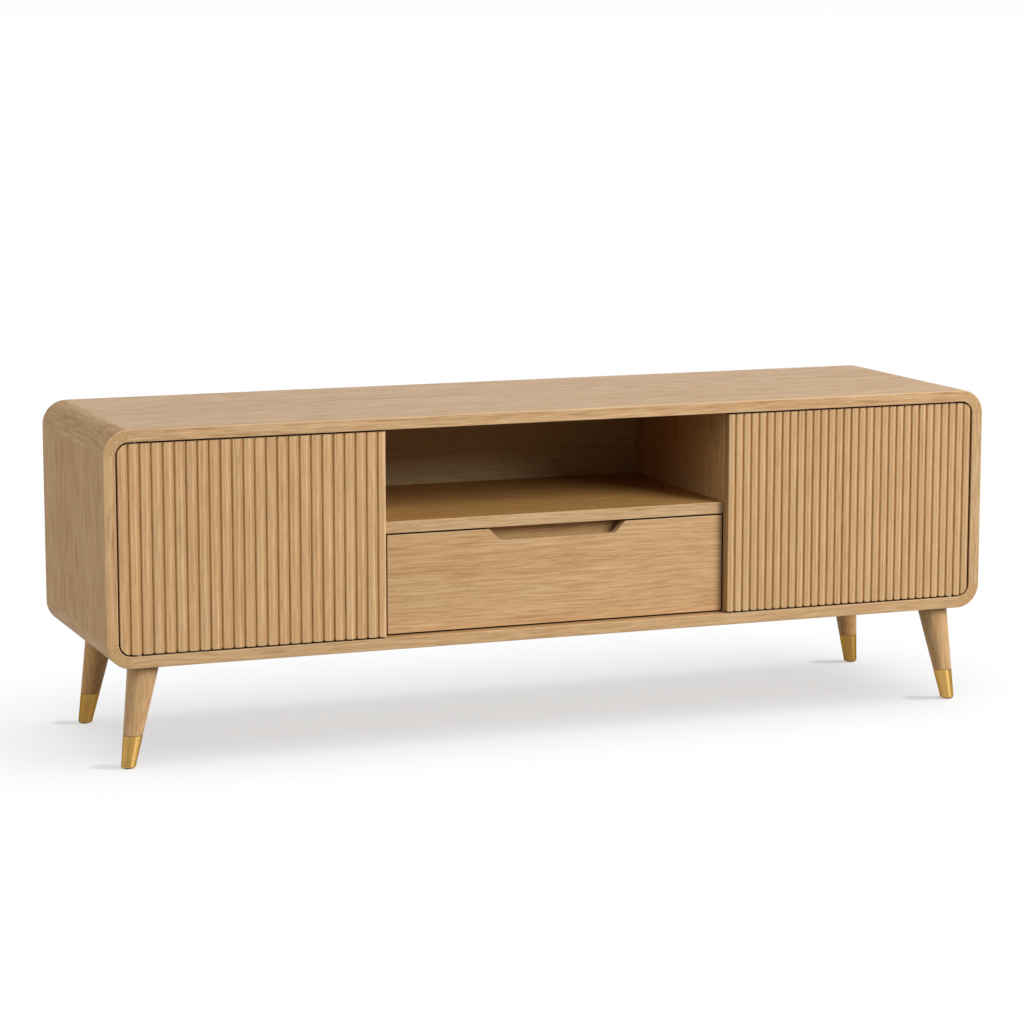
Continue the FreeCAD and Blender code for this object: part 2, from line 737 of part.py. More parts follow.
def slide_rails():
    y0, y1 = slide_y0, slide_y1
    outer, middle, inner, strips = [], [], [], []
    case_screws, drawer_screws = slide_screws()
    for case_x, box_x, toward in slide_sides():
        rail = channel(case_x, toward, outer_reach, outer_half_h, y0, y1)
        outer.append(cut_all(rail, case_screws))
        web = case_x + toward * middle_web
        middle.append(channel(web, toward, middle_reach, middle_half_h,
                              y0 + middle_shorter, y1 - middle_shorter))
        rail = channel(box_x, -toward, inner_reach, inner_half_h, y0, y1)
        inner.append(cut_all(rail, drawer_screws))
        for up in (-1, 1):
            xs = sorted(web + toward * reach for reach in outer_strip)
            zs = sorted((slide_z + up * middle_half_h, slide_z + up * (outer_half_h - sheet - strip_fit)))
            strips.append(box(xs[0], xs[1], y0 + strip_end, y1 - strip_end, zs[0], zs[1]))
            xs = sorted(web + toward * reach for reach in inner_strip)
            zs = sorted((slide_z + up * (inner_half_h + strip_fit), slide_z + up * (middle_half_h - sheet)))
            strips.append(box(xs[0], xs[1], y0 + strip_end, y1 - strip_end, zs[0], zs[1]))
    return outer, middle, inner, strips


def slide_screws():
    case_screws, drawer_screws = [], []
    for case_x, box_x, toward in slide_sides():
        for y in (slide_y0 + slide_screw_end, slide_y0 + slide_length / 2, slide_y1 - slide_screw_end):
            head = V(case_x + toward * 2 * sheet, y, slide_z)
            case_screws.append(screw(head, V(-toward, 0, 0), slide_case_screw_size))
            head = V(box_x - toward * 2 * sheet, y, slide_z)
            drawer_screws.append(screw(head, V(toward, 0, 0), slide_drawer_screw_size))
    return case_screws, drawer_screws


# ---- legs ----
def leg_cone(corner, wall, z_from, z_to):
    """The leg's tapered body, wall mm inside its surface, trimmed to a height range."""
    top, foot, up = leg_axis(*corner)
    length = (top - foot).Length
    taper = (leg_top_r - foot_r) / length
    spare = 12.0          # the cone is made longer at both ends, then trimmed level
    r0 = foot_r - wall - taper * spare
    r1 = leg_top_r - wall + taper * spare
    cone = Part.makeCone(r0, r1, length + 2 * spare, foot - up * spare, up)
    return cone.common(box(-width, width, -depth, depth, z_from, z_to))


def leg(corner):
    upper = leg_cone(corner, 0, ferrule_height, case_z0)
    tenon = leg_cone(corner, ferrule_wall, tenon_z0, ferrule_height)
    return upper.fuse(tenon).removeSplitter().cut(hanger_bolt(corner))


def ferrule(corner):
    skin = leg_cone(corner, 0, glide_proud, ferrule_height)
    foot_edges = [e for e in skin.Edges if e.BoundBox.ZMax < glide_proud + 0.1]
    skin = skin.makeFillet(ferrule_foot_round, foot_edges)
    skin = skin.cut(leg_cone(corner, ferrule_wall, tenon_z0, ferrule_height + 1))
    return skin.cut(glide(corner))


def glide(corner):
    _, foot, _ = leg_axis(*corner)
    pad = rod(glide_r, foot, foot + V(0, 0, glide_t))
    return pad.makeFillet(glide_round, [e for e in pad.Edges if e.BoundBox.ZMax < 0.1])


# ---- build every node ----
case_pieces()
case_slide_screws, drawer_slide_screws = slide_screws()
nodes["corner_splines"] = group(corner_splines())
nodes["left_divider"] = divider(left_bay_x - divider_t, case_slide_screws, latch_screws())
nodes["right_divider"] = divider(right_bay_x, case_slide_screws, latch_screws())
nodes["centre_shelf"] = centre_shelf()
nodes["case_dowels"] = group(case_dowels())
nodes["back_panel"] = back_panel()
nodes["back_panel_screws"] = group(back_screws())
nodes["left_cable_grommet"] = grommet(-1)
nodes["right_cable_grommet"] = grommet(1)
nodes["left_inner_shelf"] = inner_shelf(-inner_x, left_bay_x - divider_t)
nodes["right_inner_shelf"] = inner_shelf(right_bay_x + divider_t, inner_x)
nodes["shelf_pins"] = group(shelf_pins())

for side_name, side_sign in (("left", -1), ("right", 1)):
    nodes[side_name + "_door_panel"] = door_panel(side_sign)
    nodes[side_name + "_door_slats"] = group(door_slats(side_sign))
    nodes[side_name + "_door_bushes"] = group(door_bushes(side_sign, True))
    nodes[side_name + "_door_striker"] = striker(side_sign)
    nodes[side_name + "_latch_housing"] = latch_housing(side_sign)
    nodes[side_name + "_latch_plunger"] = latch_plunger(side_sign)

nodes["latch_springs"] = group(latch_springs())
nodes["latch_screws"] = group(latch_screws())
drilled_plates = [cut_all(plate, pivot_pins() + pivot_plate_screws()) for plate in pivot_plates()]
nodes["pivot_plates"] = group(drilled_plates)
nodes["pivot_pins"] = group(pivot_pins())
nodes["pivot_washers"] = group(pivot_washers())
nodes["pivot_plate_screws"] = group(pivot_plate_screws())

nodes["drawer_front"] = drawer_front()
drawer_boards()
nodes["drawer_bottom"] = drawer_bottom()
nodes["drawer_dowels"] = group(drawer_dowels())
outer_rails, middle_rails, inner_rails, runner_strips = slide_rails()
nodes["slide_outer_rails"] = group(outer_rails)
nodes["slide_middle_rails"] = group(middle_rails)
nodes["slide_inner_rails"] = group(inner_rails)
nodes["slide_runner_strips"] = group(runner_strips)
nodes["slide_case_screws"] = group(case_slide_screws)
nodes["slide_drawer_screws"] = group(drawer_slide_screws)

for corner_name, corner_signs in leg_corners.items():
    nodes[corner_name + "_leg"] = leg(corner_signs)
nodes["leg_ferrules"] = group([ferrule(c) for c in leg_corners.values()])
nodes["foot_glides"] = group([glide(c) for c in leg_corners.values()])
nodes["hanger_bolts"] = group([hanger_bolt(c) for c in leg_corners.values()])
nodes["leg_inserts"] = group([leg_insert(c, True) for c in leg_corners.values()])

# ---- write one STEP per node ----
os.makedirs("parts", exist_ok=True)
for name, shape in nodes.items():
    bad = [s for s in shape.Solids if not s.isValid() or s.Volume <= 0]
    if bad or not shape.Solids:
        raise RuntimeError("bad solid in " + name)
    shape.exportStep(os.path.join("parts", name + ".step"))
print(len(nodes), "nodes")
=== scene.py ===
import math

import bpy
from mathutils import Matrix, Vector

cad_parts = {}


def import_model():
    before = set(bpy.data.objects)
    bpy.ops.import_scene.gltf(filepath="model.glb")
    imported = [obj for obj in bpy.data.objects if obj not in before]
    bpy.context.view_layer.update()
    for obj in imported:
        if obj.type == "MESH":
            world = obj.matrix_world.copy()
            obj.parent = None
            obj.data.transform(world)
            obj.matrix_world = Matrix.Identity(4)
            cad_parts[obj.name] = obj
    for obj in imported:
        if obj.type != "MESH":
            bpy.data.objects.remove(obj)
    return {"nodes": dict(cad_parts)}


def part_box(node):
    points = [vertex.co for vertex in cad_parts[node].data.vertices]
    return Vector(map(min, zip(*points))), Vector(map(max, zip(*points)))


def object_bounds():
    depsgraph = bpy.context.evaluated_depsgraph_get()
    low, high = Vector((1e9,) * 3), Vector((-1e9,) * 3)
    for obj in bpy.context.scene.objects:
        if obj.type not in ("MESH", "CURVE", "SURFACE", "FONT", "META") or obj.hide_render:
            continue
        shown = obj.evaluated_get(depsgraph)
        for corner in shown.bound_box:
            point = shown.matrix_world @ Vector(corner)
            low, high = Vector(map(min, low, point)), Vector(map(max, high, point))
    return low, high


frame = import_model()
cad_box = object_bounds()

# ---------------------------------------------------------------- places, in metres
LOW, HIGH = cad_box
HALF_WIDTH = HIGH.x
TOP_Z = HIGH.z
FRONT_Y = LOW.y
BOTTOM_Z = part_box("bottom_panel")[0].z
CORNER_R = HALF_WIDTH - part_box("top_panel")[1].x
DRAWER_LOW, DRAWER_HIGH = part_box("drawer_front")
FERRULE_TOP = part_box("leg_ferrules")[1].z
SLAT_GROOVE = 0.0028
LEFT_PITCH = 0.01928
RIGHT_SLATS = 32

GAP_REACH = 0.009                       # how far off the other side of a gap still darkens it
RIM_OUTER, RIM_INNER = 0.0008, 0.0022   # a door's rim fades out over these distances in from its outline
SEAM_LOW, SEAM_HIGH = 0.0004, 0.0016    # a leg's joint line fades out over these heights above its ferrule
PLY = 0.0015                            # thickness of one ply

FLOOR_RADIUS = 400.0
VIEW_REACH = 900.0

# the camera: its place in metres, its aim in degrees, its lens and sensor in millimetres
CAMERA_PLACE = (-2.0047, -5.1957, 1.2304)
CAMERA_AZIMUTH = -20.97
CAMERA_ELEVATION = 8.922
CAMERA_LENS = 112.37
CAMERA_SENSOR = 36.0


# ---------------------------------------------------------------- colours
def rgb(r, g, b):
    """An sRGB colour, 0 to 255, as linear RGBA."""
    def linear(c):
        c = c / 255
        return c / 12.92 if c <= 0.04045 else ((c + 0.055) / 1.055) ** 2.4
    return (linear(r), linear(g), linear(b), 1.0)


def darker(color, factor):
    return tuple(c * factor for c in color[:3]) + (1.0,)


OAK_LIGHT = rgb(215, 179, 134)
OAK_MID = rgb(198, 160, 114)
OAK_DARK = rgb(170, 128, 82)
OAK_PORE = rgb(142, 100, 58)
OAK_EDGE_WEAR_AND_HIGHLIGHT = rgb(226, 194, 150)
BIRCH_LIGHT = rgb(229, 204, 165)
BIRCH_DARK = rgb(204, 172, 127)
BIRCH_PLY = rgb(158, 118, 74)

# tints that multiply the oak's colour: a redder patch of the wood itself, then painted shade in gaps, painted
# shade on each slat's right round, painted light on the groove sides and painted shade on the doors' sides
REDDER_PATCH = (0.965, 0.91, 0.83, 1.0)
# painted shade deep in narrow gaps
PAINTED_GAP_SHADE = (0.10, 0.06, 0.035, 1.0)
RIGHT_ROUND_PAINTED_SHADE = (0.62, 0.49, 0.33, 1.0)
GROOVE_SIDE_PAINTED_LIGHT = (1.36, 1.76, 2.00, 1.0)
DOOR_SIDE_PAINTED_SHADE = (0.66, 0.57, 0.42, 1.0)

FLOOR_DARK = (0.432, 0.441, 0.452, 1)
FLOOR_LIGHT = (0.452, 0.461, 0.472, 1)
FLOOR_GLOW = 0.462


# ---------------------------------------------------------------- shader helpers
class Tree:
    """A short way to write shader nodes: each call adds nodes and returns their output."""

    def __init__(self, tree):
        self.nodes = tree.nodes
        self.links = tree.links

    def add(self, kind, **settings):
        node = self.nodes.new(kind)
        for key, value in settings.items():
            setattr(node, key, value)
        return node

    def put(self, socket, value):
        if isinstance(value, bpy.types.NodeSocket):
            self.links.new(value, socket)
        else:
            socket.default_value = value

    def position(self):
        """The point on the surface, in metres: at rest, every CAD node shares the cabinet's axes."""
        return self.add("ShaderNodeTexCoord").outputs["Object"]

    def facing(self):
        """The way the surface faces, on the same axes."""
        return self.add("ShaderNodeTexCoord").outputs["Normal"]

    def math(self, operation, a, b=0.0, c=0.0):
        node = self.add("ShaderNodeMath", operation=operation)
        for socket, value in zip(node.inputs, (a, b, c)):
            self.put(socket, value)
        return node.outputs[0]

    def vector(self, operation, a, b=(0.0, 0.0, 0.0)):
        node = self.add("ShaderNodeVectorMath", operation=operation)
        self.put(node.inputs[0], a)
        self.put(node.inputs[1], b)
        return node.outputs[0]

    def split(self, vector):
        node = self.add("ShaderNodeSeparateXYZ")
        self.put(node.inputs[0], vector)
        return node.outputs

    def join(self, x, y, z):
        node = self.add("ShaderNodeCombineXYZ")
        for socket, value in zip(node.inputs, (x, y, z)):
            self.put(socket, value)
        return node.outputs[0]

    def noise(self, vector, scale=1.0, detail=2.0, roughness=0.5):
        node = self.add("ShaderNodeTexNoise")
        self.put(node.inputs["Vector"], vector)
        self.put(node.inputs["Scale"], scale)
        self.put(node.inputs["Detail"], detail)
        self.put(node.inputs["Roughness"], roughness)
        return node.outputs["Fac"]

    def remap(self, value, low, high, to_low=0.0, to_high=1.0, smooth=False):
        node = self.add("ShaderNodeMapRange", clamp=True)
        node.interpolation_type = "SMOOTHSTEP" if smooth else "LINEAR"
        for socket, v in zip(node.inputs, (value, low, high, to_low, to_high)):
            self.put(socket, v)
        return node.outputs[0]

    def hump(self, value, centre, reach, height):
        """height where value is at centre, falling to 0 at reach on both sides."""
        away = self.math("ABSOLUTE", self.math("SUBTRACT", value, centre))
        return self.remap(away, 0.0, reach, height, 0.0, smooth=True)

    def mix(self, factor, a, b, blend="MIX"):
        node = self.add("ShaderNodeMix", data_type="RGBA", blend_type=blend)
        self.put(node.inputs["Factor"], factor)
        self.put(node.inputs["A"], a)
        self.put(node.inputs["B"], b)
        return node.outputs["Result"]

    def times(self, color, tint):
        return self.mix(1.0, color, tint, blend="MULTIPLY")

    def bump(self, height, strength, distance):
        node = self.add("ShaderNodeBump")
        self.put(node.inputs["Height"], height)
        node.inputs["Strength"].default_value = strength
        node.inputs["Distance"].default_value = distance
        return node.outputs["Normal"]

    def centred(self, value, gain):
        """A 0 to 1 value as a shade round zero."""
        return self.math("MULTIPLY", self.math("SUBTRACT", value, 0.5), gain)

    def total(self, *parts):
        result = parts[0]
        for part in parts[1:]:
            result = self.math("ADD", result, part)
        return result


def new_material(name):
    material = bpy.data.materials.new(name)
    material.use_nodes = True
    tree = Tree(material.node_tree)
    shader = material.node_tree.nodes["Principled BSDF"]
    return material, tree, shader


# ---------------------------------------------------------------- oak
def stretched(t, along, u, v, along_scale, across_scale, detail=2.0):
    """Noise drawn out along the fibres."""
    vector = t.join(t.math("MULTIPLY", along, along_scale), t.math("MULTIPLY", u, across_scale),
                    t.math("MULTIPLY", v, across_scale))
    return t.noise(vector, detail=detail, roughness=0.55)


def oak_group():
    """The grain of a board whose fibres run along the group's first axis, in metres."""
    group = bpy.data.node_groups.new("oak_grain", "ShaderNodeTree")
    face = group.interface
    face.new_socket("Point", in_out="INPUT", socket_type="NodeSocketVector")
    face.new_socket("Pith", in_out="INPUT", socket_type="NodeSocketVector")
    for name in ("Ring", "Figure", "Waver"):
        face.new_socket(name, in_out="INPUT", socket_type="NodeSocketFloat")
    for name in ("Shade", "Pores", "Cloud"):
        face.new_socket(name, in_out="OUTPUT", socket_type="NodeSocketFloat")
    t = Tree(group)
    given = t.add("NodeGroupInput").outputs
    results = t.add("NodeGroupOutput").inputs
    along, u, v = t.split(given["Point"])

    # the fibres waver slowly, and everything follows them
    long_wave = t.centred(stretched(t, along, u, v, 3.2, 7.0), 0.020)
    short_wave = t.centred(stretched(t, along, u, v, 13.0, 30.0), 0.0036)
    waver = t.math("MULTIPLY", t.total(long_wave, short_wave), given["Waver"])
    u = t.math("ADD", u, waver)
    v = t.math("ADD", v, waver)

    # growth rings round a pith line that leans and drifts
    lean, pith_u, pith_v = t.split(given["Pith"])
    drift = t.centred(stretched(t, along, u, v, 1.5, 3.0), 0.10)
    du = t.math("SUBTRACT", u, pith_u)
    dv = t.total(t.math("SUBTRACT", v, pith_v), t.math("MULTIPLY", along, lean), drift)
    radius = t.math("SQRT", t.math("MULTIPLY_ADD", du, du, t.math("MULTIPLY", dv, dv)))
    phase = t.math("FRACT", t.math("DIVIDE", radius, given["Ring"]))
    early = t.remap(phase, 0.0, 0.6, 1.0, 0.0, smooth=True)
    late = t.remap(phase, 0.78, 1.0, 0.0, 1.0, smooth=True)
    rings = t.math("MAXIMUM", early, late)

    # fibre streaks at four widths, and open pores, which gather in the rings
    shade = t.total(
        t.math("MULTIPLY", t.math("SUBTRACT", rings, 0.45), given["Figure"]),
        t.centred(stretched(t, along, u, v, 1.1, 14.0), 0.30),
        t.centred(stretched(t, along, u, v, 4.0, 100.0), 0.45),
        t.centred(stretched(t, along, u, v, 9.0, 250.0, detail=1.0), 0.85),
        t.centred(stretched(t, along, u, v, 20.0, 430.0, detail=1.0), 1.15),
    )
    pores = t.remap(stretched(t, along, u, v, 45.0, 1250.0, detail=1.0), 0.60, 0.70, smooth=True)
    pores = t.math("MULTIPLY", pores, t.math("MULTIPLY_ADD", rings, 0.6, 0.4))
    t.links.new(shade, results["Shade"])
    t.links.new(pores, results["Pores"])
    t.links.new(stretched(t, along, u, v, 0.7, 5.0), results["Cloud"])
    return group


OAK_GROUP = oak_group()
AXIS_ORDER = {"x": (0, 1, 2), "y": (1, 0, 2), "z": (2, 0, 1)}


def grain(t, axis, offset, pith, ring, figure, waver, boards=None):
    """The oak group on this material's own axes.  boards = (first edge, pitch): each board its own grain."""
    xyz = t.split(t.position())
    a, b, c = AXIS_ORDER[axis]
    point = t.vector("ADD", t.join(xyz[a], xyz[b], xyz[c]), offset)
    board_value = None
    if boards:
        start, pitch = boards
        number = t.math("FLOOR", t.math("DIVIDE", t.math("SUBTRACT", xyz[0], start), pitch))
        white = t.add("ShaderNodeTexWhiteNoise", noise_dimensions="1D")
        t.put(white.inputs["W"], number)
        board_value = white.outputs["Value"]
        point = t.vector("ADD", point, t.vector("MULTIPLY", white.outputs["Color"], (9.0, 1.0, 0.02)))
    node = t.add("ShaderNodeGroup", node_tree=OAK_GROUP)
    values = {"Point": point, "Pith": pith, "Ring": ring, "Figure": figure, "Waver": waver}
    for name, value in values.items():
        t.put(node.inputs[name], value)
    return node.outputs["Shade"], node.outputs["Pores"], node.outputs["Cloud"], board_value


def oak_color(t, shade, pores, cloud):
    """From pale to dark fibres, with darker pores and redder patches."""
    color = t.mix(t.remap(shade, -0.50, 0.0), OAK_LIGHT, OAK_MID)
    color = t.mix(t.remap(shade, 0.0, 0.60), color, OAK_DARK)
    color = t.mix(t.math("MULTIPLY", pores, 0.50), color, OAK_PORE)
    redder = t.math("MULTIPLY", t.remap(cloud, 0.40, 0.65), 0.5)
    return t.mix(redder, color, REDDER_PATCH, blend="MULTIPLY")


def tinted(t, color, tone, front_painted_lighting):
    """The board's tint, a number or a colour, and where it faces the front a second tint, painted to stand
    for how light falls there.
    """
    tint = (*tone, 1.0) if isinstance(tone, tuple) else (tone, tone, tone, 1.0)
    if front_painted_lighting:
        depth = t.split(t.facing())[1]
        tint = t.mix(t.remap(depth, -0.3, -0.8), tint, (*front_painted_lighting, 1.0))
    return t.times(color, tint)


def edge_mask(t, kind):
    """Where a rounded edge is, from the way the surface faces: 1 on the edge, 0 on the flats."""
    nx, ny, nz = t.split(t.vector("ABSOLUTE", t.facing()))
    if kind == "front":
        facing_out = t.remap(ny, 0.10, 0.40, smooth=True)
        not_flat = t.remap(ny, 0.99, 0.88, smooth=True)
        return t.math("MULTIPLY", facing_out, not_flat)
    most = t.math("MAXIMUM", nx, t.math("MAXIMUM", ny, nz))
    return t.remap(most, 0.990, 0.90, smooth=True)


def openness(t):
    """0 deep inside a narrow gap, 1 on open faces: where the painted gap shade goes."""
    nearby = t.add("ShaderNodeAmbientOcclusion", samples=6)
    nearby.inputs["Distance"].default_value = GAP_REACH
    return t.remap(nearby.outputs["AO"], 0.04, 0.32)


def near_rim(t, low, high):
    """1 at the outline of a door whose box runs from low to high, 0 on the rest of its face."""
    x, _, z = t.split(t.position())
    sides = t.math("MINIMUM", t.math("SUBTRACT", x, low.x), t.math("SUBTRACT", high.x, x))
    ends = t.math("MINIMUM", t.math("SUBTRACT", z, low.z), t.math("SUBTRACT", high.z, z))
    return t.remap(t.math("MINIMUM", sides, ends), RIM_OUTER, RIM_INNER, 1.0, 0.0)


def slat_painted_shading(t, color, boards, at_rim):
    """Each slat gets a painted highlight on its left round and along its centre, and painted shade towards
    its right.  The slat sides in the grooves get painted light, and those at the door's rim painted shade."""
    x = t.split(t.position())[0]
    start, pitch = boards
    phase = t.math("FRACT", t.math("DIVIDE", t.math("SUBTRACT", x, start), pitch))
    # painted highlights on each slat's left round and along its centre
    painted_left_highlight = t.hump(phase, centre=0.19, reach=0.11, height=0.17)
    painted_centre_highlight = t.hump(phase, centre=0.58, reach=0.15, height=0.12)
    light = t.total(1.0, painted_left_highlight, painted_centre_highlight)
    color = t.times(color, t.join(light, light, light))
    # painted shade towards each slat's right groove
    painted_right_shade = t.remap(phase, 0.62, 0.96, smooth=True)
    color = t.mix(painted_right_shade, color, t.times(color, RIGHT_ROUND_PAINTED_SHADE))

    # painted light on the slat sides in the grooves, painted shade on those at the door's rim
    sideways = t.split(t.vector("ABSOLUTE", t.facing()))[0]
    groove_side_painted_light = t.times(color, GROOVE_SIDE_PAINTED_LIGHT)
    rim_side_painted_shade = t.times(color, DOOR_SIDE_PAINTED_SHADE)
    inside = t.remap(at_rim, 0.0, 1.0, 1.0, 0.0)
    color = t.mix(t.math("MULTIPLY", t.remap(sideways, 0.75, 0.97), inside), color, groove_side_painted_light)
    return t.mix(t.math("MULTIPLY", t.remap(sideways, 0.93, 0.99), at_rim), color, rim_side_painted_shade)


def oak(name, axis, offset, pith=(0.02, 0.0, -0.05), ring=0.0055, figure=0.15, waver=1.0, contrast=1.0,
        tone=1.0, front_painted_lighting=None, gloss=0.45, edge="box", rim=None, boards=None, seam_z=None):
    """Clear-lacquered oak whose fibres run along axis.

    pith, ring, figure, waver and contrast shape the grain, and offset picks the part of it that shows.
    edge says which arrises are worn lighter, with a painted highlight: "box", "front" or None.
    rim = (low, high) is a door's box, and then only the door's rim gets painted shade in a gap.
    boards = (first edge, pitch) makes each slat a board of its own, and it needs rim.
    seam_z is the height that a dark joint line stands on.
    """
    material, t, shader = new_material(name)
    shade, pores, cloud, board_value = grain(t, axis, offset, pith, ring, figure, waver, boards)
    if contrast != 1.0:
        shade = t.math("MULTIPLY", shade, contrast)
    if board_value is not None:
        shade = t.math("ADD", shade, t.centred(board_value, 0.12))
    color = tinted(t, oak_color(t, shade, pores, cloud), tone, front_painted_lighting)
    rough = t.remap(shade, -0.4, 0.5, 0.46, 0.58)
    if edge:
        # edge wear and a painted highlight: the rounded arrises go lighter
        worn_and_highlit = t.math("MULTIPLY", edge_mask(t, edge), t.remap(cloud, 0.2, 0.7, 0.75, 0.45))
        color = t.mix(worn_and_highlit, color, OAK_EDGE_WEAR_AND_HIGHLIGHT)
        rough = t.math("MULTIPLY_ADD", worn_and_highlit, -0.10, rough)
    # painted shade in gaps, from an occlusion mask; a door takes it only at its rim
    open_face = openness(t)
    if rim:
        at_rim = near_rim(t, *rim)
        open_face = t.remap(at_rim, 0.0, 1.0, 1.0, open_face)
    # painted highlights and shade across each slat
    if boards:
        color = slat_painted_shading(t, color, boards, at_rim)
    if seam_z:
        z = t.split(t.position())[2]
        seam = t.remap(z, seam_z + SEAM_LOW, seam_z + SEAM_HIGH, 0.35, 1.0)
        color = t.times(color, t.join(seam, seam, seam))
    # painted shade: the colour goes dark deep in narrow gaps
    color = t.mix(open_face, t.times(color, PAINTED_GAP_SHADE), color)
    t.put(shader.inputs["Base Color"], color)
    t.put(shader.inputs["Roughness"], rough)
    shader.inputs["Specular IOR Level"].default_value = gloss
    height = t.math("MULTIPLY_ADD", shade, 0.3, t.math("MULTIPLY", pores, -1.0))
    t.put(shader.inputs["Normal"], t.bump(height, 0.30, 0.0002))
    return material


# ---------------------------------------------------------------- other materials
def plywood(name, axis, offset, thick=None):
    """Pale birch plywood: quiet grain on the faces, and plies on the edges across the thick axis."""
    material, t, shader = new_material(name)
    shade, pores, _, _ = grain(t, axis, offset, pith=(0.03, 0.0, -0.2), ring=0.012, figure=0.25, waver=1.5)
    color = t.mix(t.remap(shade, -0.4, 0.4), BIRCH_LIGHT, BIRCH_DARK)
    if thick:
        k = "xyz".index(thick)
        place = t.split(t.position())[k]
        on_face = t.split(t.vector("ABSOLUTE", t.facing()))[k]
        ply = t.math("PINGPONG", t.math("DIVIDE", place, PLY), 1.0)
        dark_ply = t.math("MULTIPLY", t.remap(ply, 0.35, 0.65, smooth=True), t.remap(on_face, 0.7, 0.3))
        color = t.mix(t.math("MULTIPLY", dark_ply, 0.6), color, BIRCH_PLY)
    t.put(shader.inputs["Base Color"], color)
    t.put(shader.inputs["Roughness"], t.remap(shade, -0.4, 0.5, 0.52, 0.64))
    t.put(shader.inputs["Normal"], t.bump(t.math("SUBTRACT", shade, pores), 0.15, 0.0001))
    return material


def metal(name, color, edge_color, roughness, across=(900.0, 900.0, 30.0), turned=0.0, back_painted_shade=None):
    """Satin metal with fine brush marks and slightly uneven gloss.

    across is how fine the marks are along each axis.  turned is how far the gloss is drawn out round the
    vertical, as lathe work leaves it.  back_painted_shade darkens what stands in the cabinet's back half:
    painted shade.
    """
    material, t, shader = new_material(name)
    xyz = t.split(t.position())
    lines = t.noise(t.join(*(t.math("MULTIPLY", xyz[i], across[i]) for i in range(3))))
    cloud = t.noise(t.join(*xyz), scale=60.0)
    tint = t.mix(t.remap(lines, 0.30, 0.70), color, darker(color, 0.92))
    if back_painted_shade:
        tint = t.mix(t.remap(xyz[1], -0.05, 0.05), tint, t.times(tint, back_painted_shade))
    t.put(shader.inputs["Base Color"], tint)
    t.put(shader.inputs["Roughness"], t.remap(cloud, 0.30, 0.70, roughness, roughness + 0.06))
    shader.inputs["Metallic"].default_value = 1.0
    if turned:
        shader.inputs["Anisotropic"].default_value = turned
        shader.inputs["Anisotropic Rotation"].default_value = 0.25
        around = t.add("ShaderNodeTangent", direction_type="RADIAL", axis="Z")
        t.put(shader.inputs["Tangent"], around.outputs[0])
    shader.inputs["Specular Tint"].default_value = edge_color
    t.put(shader.inputs["Normal"], t.bump(lines, 0.03, 0.00005))
    return material


def plastic(name, color, roughness, grain_scale=1400.0):
    """Moulded plastic or rubber with a fine spark-eroded grain."""
    material, t, shader = new_material(name)
    point = t.position()
    speck = t.noise(point, scale=grain_scale)
    cloud = t.noise(point, scale=30.0)
    t.put(shader.inputs["Base Color"], t.mix(t.remap(cloud, 0.3, 0.7), color, darker(color, 0.82)))
    t.put(shader.inputs["Roughness"], t.remap(speck, 0.3, 0.7, roughness - 0.06, roughness + 0.08))
    t.put(shader.inputs["Normal"], t.bump(speck, 0.2, 0.00006))
    return material


def clothe(material, *nodes):
    """Give carried-over CAD nodes their finish."""
    for node in nodes:
        slots = frame["nodes"][node].data.materials
        slots.clear()
        slots.append(material)


# ---------------------------------------------------------------- the cabinet's finishes
def dress_case():
    # painted sheen: the top is tinted a little paler and cooler
    clothe(oak("oak_top", "x", (0.3, 0.0, 0.0), pith=(0.015, 0.05, TOP_Z - 0.09), ring=0.006, waver=0.7,
               contrast=1.35, tone=(1.022, 1.02, 1.054), gloss=0.20), "top_panel")
    clothe(oak("oak_bottom", "x", (2.1, 0.0, 0.0), pith=(0.02, -0.05, BOTTOM_Z - 0.07)), "bottom_panel")
    side = dict(figure=0.10, contrast=1.35, gloss=0.03)
    # the side panels' front edges get a painted lighting tint
    clothe(oak("oak_left_side", "z", (1.7, 0.0, 0.3), pith=(0.03, -0.72, 0.25),
               front_painted_lighting=(1.03, 1.03, 1.05), **side), "left_side_panel")
    clothe(oak("oak_right_side", "z", (4.2, 0.0, 0.1), pith=(0.03, 0.72, 0.05),
               front_painted_lighting=(1.00, 1.05, 1.13), **side), "right_side_panel")
    # painted shade: the back panel's face into the bays gets a cooler tint for the dim light there
    clothe(oak("oak_back", "x", (5.3, 0.0, 0.2), pith=(0.02, 0.10, 0.5), figure=0.10, contrast=0.6,
               tone=0.97, front_painted_lighting=(0.93, 1.14, 1.28), gloss=0.12), "back_panel")


def dress_corners():
    """The grain of a corner block runs front to back, and its rings go round the curve's own axis."""
    for i, (level, z) in enumerate((("top", TOP_Z - CORNER_R), ("bottom", BOTTOM_Z + CORNER_R))):
        for k, (side, x) in enumerate((("left", CORNER_R - HALF_WIDTH), ("right", HALF_WIDTH - CORNER_R))):
            block = "corner_block_" + level + "_" + side
            start = (3.0 * i + 1.3 * k, 0.0, 0.0)
            # the block's front face gets a slight painted lighting tint
            clothe(oak("oak_" + block, "y", start, pith=(0.0, x, z), ring=0.0045, figure=0.16, waver=0.5,
                       tone=0.97, front_painted_lighting=(1.00, 1.01, 1.03), gloss=0.08, edge="front"), block)


